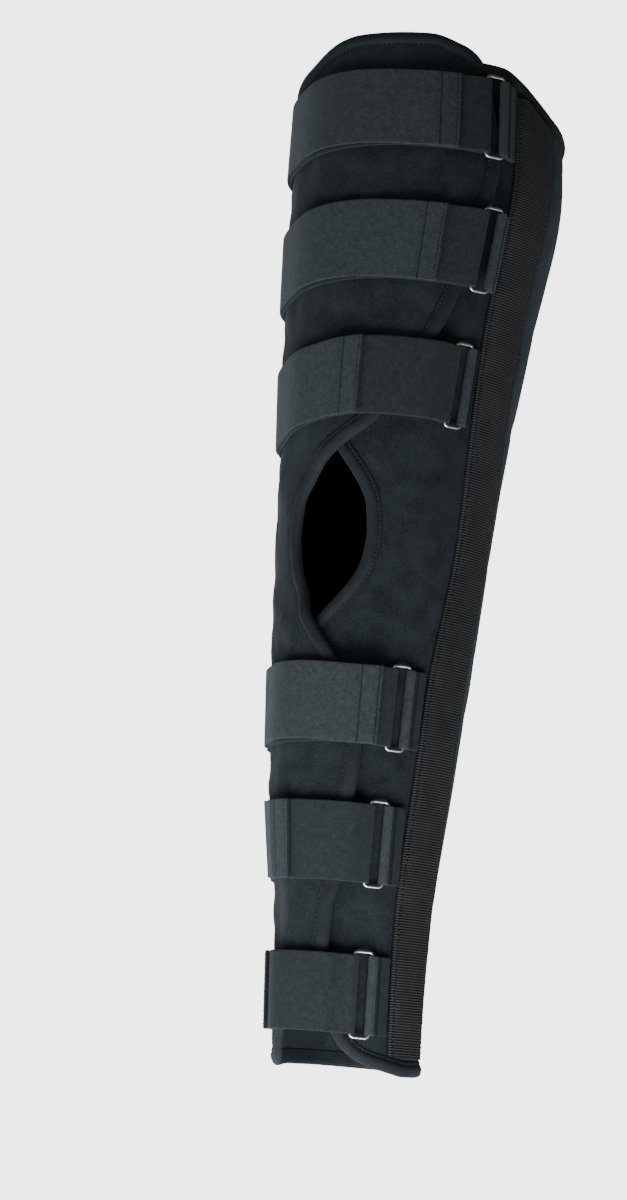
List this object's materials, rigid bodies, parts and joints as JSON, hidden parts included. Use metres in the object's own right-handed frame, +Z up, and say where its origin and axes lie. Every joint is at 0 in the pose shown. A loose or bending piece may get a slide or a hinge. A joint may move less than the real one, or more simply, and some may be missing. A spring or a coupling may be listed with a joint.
{
  "type": "knee immobilizer",
  "caption": "Full-length padded knee immobilizer with two wings lapped down the front, an open kneecap, side stay pocket and hook-and-loop straps through wire rings.",
  "frame": {"origin": "on the leg's axis in the middle of the knee opening's height", "axes": "+Z up the leg, -Y the front of the leg, +X the outer side with the stay pocket and the rings"},
  "size_m": [0.1875, 0.1948, 0.6638],
  "materials": {
    "panel_cloth": "brushed loop cloth over thin foam, near-black blue charcoal",
    "edge_tape": "folded knit binding tape, stitched",
    "stay_webbing": "ribbed woven webbing, neutral black",
    "strap_velour": "slate velour loop strap",
    "tab_velour": "fuzzy slate hook-and-loop tab, two stitch rows",
    "loop_webbing": "narrow folded velour loop",
    "ring_wire": "nickel-plated round wire"
  },
  "bodies": {
    "root": {"medial_wing": "panel_cloth", "lateral_wing": "panel_cloth", "back_panel": "panel_cloth", "lateral_stay_pocket": "stay_webbing", "top_edge_tape": "edge_tape", "bottom_edge_tape": "edge_tape", "medial_edge_tape": "edge_tape", "lateral_edge_tape": "edge_tape", "thigh_top_strap": "strap_velour", "thigh_top_hook_tab": "tab_velour", "thigh_top_ring_loop": "loop_webbing", "thigh_top_ring": "ring_wire", "thigh_middle_strap": "strap_velour", "thigh_middle_hook_tab": "tab_velour", "thigh_middle_ring_loop": "loop_webbing", "thigh_middle_ring": "ring_wire", "thigh_low_strap": "strap_velour", "thigh_low_hook_tab": "tab_velour", "thigh_low_ring_loop": "loop_webbing", "thigh_low_ring": "ring_wire", "calf_top_strap": "strap_velour", "calf_top_hook_tab": "tab_velour", "calf_top_ring_loop": "loop_webbing", "calf_top_ring": "ring_wire", "calf_low_strap": "strap_velour", "calf_low_hook_tab": "tab_velour", "calf_low_ring_loop": "loop_webbing", "calf_low_ring": "ring_wire", "ankle_strap": "strap_velour", "ankle_hook_tab": "tab_velour", "ankle_ring_loop": "loop_webbing", "ankle_ring": "ring_wire"}
  },
  "joints": []
}
